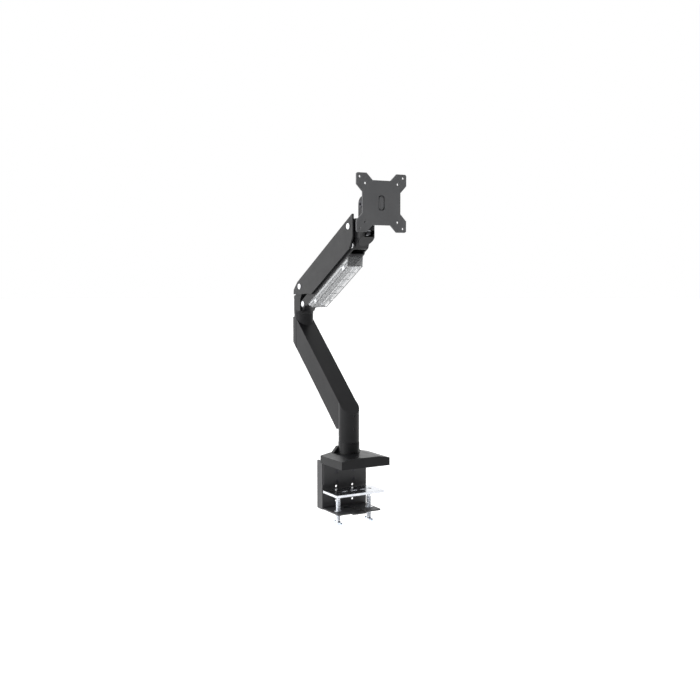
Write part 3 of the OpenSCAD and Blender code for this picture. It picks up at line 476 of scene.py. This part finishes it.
def arm_bar(name, mat, x, u, v, lean=0.0, width=0.3):
    """A moulded bar of the clear cover, from (x, along, up) ranges, with rounded edges."""
    bm = bmesh.new()
    bmesh.ops.create_cube(bm, size=1)
    for vert in bm.verts:
        px, pu, pv = (r[0] + (c + 0.5) * (r[1] - r[0]) for r, c in zip((x, u, v), vert.co))
        pu += lean * (pv - v[0])
        vert.co = ELBOW + (Vector((px, 0, 0)) + ALONG * pu + UP * pv) * MM
    bmesh.ops.recalc_face_normals(bm, faces=bm.faces)
    obj = mesh_object(name, bm)
    bevel(obj, width * MM, 2)
    finish_piece(obj, "clear_cover", replace=False)
    obj.data.materials[0] = mat


def clear_cover_side(side, extent):
    """The lip, rail, step, outer wall and two clips on one side of the clear cover."""
    u0, u1, v0, v1, half = extent
    flat0, flat1 = u0 + REAR_SLOPE, u1 - FRONT_SLOPE
    tag = "left" if side < 0 else "right"

    def across(outer, inner):
        return sorted((side * (half + outer), side * (half + inner)))

    arm_bar("cover_lip_" + tag, RIM_PAINTED_DARK, across(PROUD, -1.3), (flat0, flat1), (v0 - 0.3, v0 + 0.7))
    arm_bar("cover_rail_" + tag, RIM_PAINTED_DARK, across(PROUD, -0.4), (u0 + 4, u1 - 4),
            (v1 - RAIL[0], v1 - RAIL[1]))
    arm_bar("cover_step_" + tag, RIM_PAINTED_DARK, across(PROUD, -0.2), (flat0 - 6, flat1 + 4),
            (v0 + STEP[0], v0 + STEP[1]), width=0.2)
    arm_bar("cover_wall_" + tag, WALL_PAINTED_REFLECTION, across(0.2, -0.1), (flat0 - 8, flat1 + 6),
            (v0 + STEP[1], v1 - RAIL[0]), width=0.1)
    for k, place in enumerate((flat0 + REAR_CLIP, flat1 - FRONT_CLIP)):
        arm_bar("cover_clip_%s_%d" % (tag, k), BOSS_PAINTED_HIGHLIGHT, across(0.9, 0), (place - 5, place + 5),
                (v0 + 1.5, v0 + 11), width=0.4)
        arm_bar("cover_hook_%s_%d" % (tag, k), RIM_PAINTED_DARK, across(1.6, 0), (place - 4, place + 4),
                (v0 + 10, v0 + 12), width=0.4)


def clear_cover_details():
    """What is moulded on the clear cover, laid out in the upper arm's own frame."""
    extent = arm_extent("clear_cover")
    u0, u1, v0, v1, half = extent
    for side in (-1, 1):
        clear_cover_side(side, extent)
    for k, (place, slope) in enumerate(((u0 + 0.6, -REAR_SLOPE), (u1 - 0.6, FRONT_SLOPE))):
        lean = slope / (v1 - v0)
        foot = place - lean * (v1 - v0)
        arm_bar("cover_end_%d" % k, RIM_PAINTED_DARK, (-half, half), (foot - 0.5, foot + 0.5), (v0, v1), lean, 0.2)
    flat0, flat1 = u0 + REAR_SLOPE, u1 - FRONT_SLOPE
    for k in range(1, RIBS + 1):
        place = flat0 + (flat1 - flat0) * k / (RIBS + 1)
        arm_bar("cover_rib_%d" % k, RIM_PAINTED_DARK, (-half + 1.6, half - 1.6), (place - 0.4, place + 0.4),
                (v0 + 1.4, v0 + 3.4), width=0.15)


def spring_pin():
    """The gas spring's pin, riveted flush with the main link and painted over with it."""
    lo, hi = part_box("spring_pin")
    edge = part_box("main_link")[1].x / MM - PIN_SUNK
    radius = (hi.z - lo.z) / 2 / MM - PIN_SUNK
    place = (0, (lo.y + hi.y) / 2, (lo.z + hi.z) / 2)
    pin = turned("spring_pin_finished", [(radius, -edge), (radius, edge)], place, (1, 0, 0), 32)
    finish_piece(pin, "spring_pin")
    pin.data.materials[0] = MATERIALS["black_powder"]


def stadium_ring(width, height, steps=16):
    """Points round an upright slot shape, in millimetres."""
    radius = width / 2
    points = []
    for k in range(2 * steps + 2):
        turn = pi * (k if k <= steps else k - 1) / steps
        shift = (height / 2 - radius) * (1 if k <= steps else -1)
        points.append((radius * cos(turn), radius * sin(turn) + shift))
    return points


def plate_cap():
    """The oblong cap in the screen plate, domed at its rim, with a groove round it."""
    lo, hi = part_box("plate_cap")
    centre_x, centre_z = (lo.x + hi.x) / 2, (lo.z + hi.z) / 2
    width, height, depth = (hi.x - lo.x) / MM, (hi.z - lo.z) / MM, (hi.y - lo.y) / MM
    bm = bmesh.new()
    rings = []
    for inset, back in CAP_RINGS:
        y = lo.y + (depth if back is None else back) * MM
        outline = stadium_ring(width - 2 * inset, height - 2 * inset)
        rings.append([bm.verts.new((centre_x + x * MM, y, centre_z + z * MM)) for x, z in outline])
    for a, b in zip(rings, rings[1:]):
        bridge(bm, a, b)
    bm.faces.new(list(reversed(rings[0])))
    bm.faces.new(rings[-1])
    bmesh.ops.recalc_face_normals(bm, faces=bm.faces)
    finish_piece(mesh_object("plate_cap_finished", bm), "plate_cap", smooth=50)


def plate_screws():
    """The rivets of the screen plate, dressed flush with its face and painted with it."""
    lo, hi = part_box("plate_screws")
    centre_z = middle_of("plate_screws").z
    pitch = (hi.z - lo.z) / 2 / MM - RIVET_HEAD_R
    length = hi.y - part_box("vesa_plate")[0].y - RIVET_SUNK * MM
    upright = Matrix.Rotation(radians(90), 4, "X")
    bm = bmesh.new()
    for x in (-pitch, pitch):
        for z in (-pitch, pitch):
            spot = Matrix.Translation(Vector((x * MM, hi.y - length / 2, centre_z + z * MM))) @ upright
            bmesh.ops.create_cone(bm, cap_ends=True, segments=32, radius1=RIVET_R * MM,
                                  radius2=RIVET_R * MM, depth=length, matrix=spot)
    rivets = finish_piece(mesh_object("plate_screws_finished", bm), "plate_screws")
    rivets.data.materials[0] = MATERIALS["plate_powder"]


def clamp_screw(side):
    """A clamp screw with a rolled thread, its head below and a spigot above."""
    node = "clamp_screw_" + side
    lo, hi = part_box(node)
    bottom, top = lo.z / MM, hi.z / MM
    head = (hi.x - lo.x) / 2 / MM
    bar_z = (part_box("tommy_bar_left")[0].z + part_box("tommy_bar_left")[1].z) / 2 / MM
    shoulder = top - SPIGOT_LENGTH
    below = [(head - 1.0, bottom), (head, bottom + 1.0), (head, bar_z + 4.2), (head - 0.9, bar_z + 5)]
    above = [(SPIGOT_R, shoulder + 0.6), (SPIGOT_R, top - 0.8), (SPIGOT_TIP_R, top)]
    place = ((lo.x + hi.x) / 2, (lo.y + hi.y) / 2, 0)
    screw = threaded(node + "_finished", place, below, head - 0.2, bar_z + 6, shoulder, above)
    finish_piece(screw, node, smooth=50)


def tommy_bar(side):
    """The sliding handle of a clamp screw, with a knob at each end."""
    node = "tommy_bar_" + side
    lo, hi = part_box(node)
    screw_lo, screw_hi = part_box("clamp_screw_" + side)
    half, knob = (hi.y - lo.y) / 2 / MM, (hi.z - lo.z) / 2 / MM
    neck = half - KNOB_LENGTH
    end = [(knob - 1.4, half), (knob - 0.5, half - 0.4), (knob, half - 1.3), (knob, neck + 1.0),
           (knob - 0.6, neck + 0.2), (ROD_R, neck)]
    profile = [(r, -h) for r, h in end] + [(r, h) for r, h in reversed(end)]
    place = ((screw_lo.x + screw_hi.x) / 2, (lo.y + hi.y) / 2, (lo.z + hi.z) / 2)
    finish_piece(turned(node + "_finished", profile, place, (0, 1, 0), 28), node, smooth=50)


for node, width in ROUNDING.items():
    rounded(node, width)
clear_cover_details()
spring_pin()
plate_cap()
plate_screws()
for side in ("left", "right"):
    clamp_screw(side)
    tommy_bar(side)

# the clamp's bracket and base plate get the lighter sheet black, partly painted light for their shaded
# walls
for node in ("lower_bracket", "base_plate"):
    bpy.data.objects[node + "_finished"].data.materials[0] = SATIN_SHEET_WITH_PAINTED_LIGHT

for node, obj in frame["nodes"].items():
    for slot in obj.material_slots:
        slot.material = MATERIALS[SLOT_OF[node]]


# ---------------------------------------------------------------- studio

low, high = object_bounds()


def flat_floor():
    bm = bmesh.new()
    bmesh.ops.create_circle(bm, cap_ends=True, segments=64, radius=30)
    floor = mesh_object("floor", bm)
    floor.location = (0, 0, low.z - FLOOR_DROP)
    mat, nodes, shader, coords = new_material("white floor")
    patches = noise(nodes, coords, 3, 2)
    nodes.link(tint(nodes, patches, (0.90, 0.90, 0.90), (0.92, 0.92, 0.92)), shader.inputs["Base Color"])
    shader.inputs["Roughness"].default_value = 0.9
    shader.inputs["Emission Color"].default_value = (1, 1, 1, 1)
    shader.inputs["Emission Strength"].default_value = FLOOR_GLOW
    floor.data.materials.append(mat)


def area_light(name, place, target, size, power):
    light = bpy.data.lights.new(name, "AREA")
    light.shape = "RECTANGLE"
    light.size, light.size_y = size
    light.energy = power
    obj = bpy.data.objects.new(name, light)
    scene.collection.objects.link(obj)
    obj.location = place
    aim = Vector(target) - Vector(place)
    obj.rotation_euler = aim.to_track_quat("-Z", "Y").to_euler()


def studio_world():
    """White for the camera, and for light a room that is bright behind the object and to its left."""
    world = bpy.data.worlds.new("studio")
    scene.world = world
    world.use_nodes = True
    nodes = Nodes(world.node_tree)
    back = world.node_tree.nodes["Background"]
    coords = nodes.add("ShaderNodeTexCoord")
    side = nodes.add("ShaderNodeVectorMath", operation="DOT_PRODUCT")
    side.inputs[1].default_value = BRIGHT_SIDE
    nodes.link(coords.outputs["Generated"], side.inputs[0])
    level = spread(nodes, side.outputs["Value"], DIM, BRIGHT, -0.5, 0.85)
    path = nodes.add("ShaderNodeLightPath")
    mix = nodes.add("ShaderNodeMix")
    nodes.link(path.outputs["Is Camera Ray"], mix.inputs[0])
    nodes.link(level, mix.inputs[2])
    mix.inputs[3].default_value = 1.0
    nodes.link(mix.outputs[0], back.inputs["Strength"])
    back.inputs["Color"].default_value = (1, 1, 1, 1)


def studio_camera():
    data = bpy.data.cameras.new("camera")
    data.sensor_width = SENSOR_MM
    data.lens = LENS_MM
    data.clip_start, data.clip_end = 0.05, 100
    camera = bpy.data.objects.new("camera", data)
    scene.collection.objects.link(camera)
    sight = Vector((-sin(AZIMUTH) * cos(ELEVATION), cos(AZIMUTH) * cos(ELEVATION), -sin(ELEVATION)))
    camera.location = CAMERA_PLACE
    camera.rotation_euler = sight.to_track_quat("-Z", "Y").to_euler()
    scene.camera = camera


flat_floor()
studio_world()
middle = (low + high) / 2
area_light("key left", (-2.6, 0.4, 1.1), middle, (1.6, 1.6), 26)
area_light("top", (0.1, 0.3, 2.4), middle, (1.6, 1.6), 14)
studio_camera()
scene.view_settings.view_transform = "Standard"
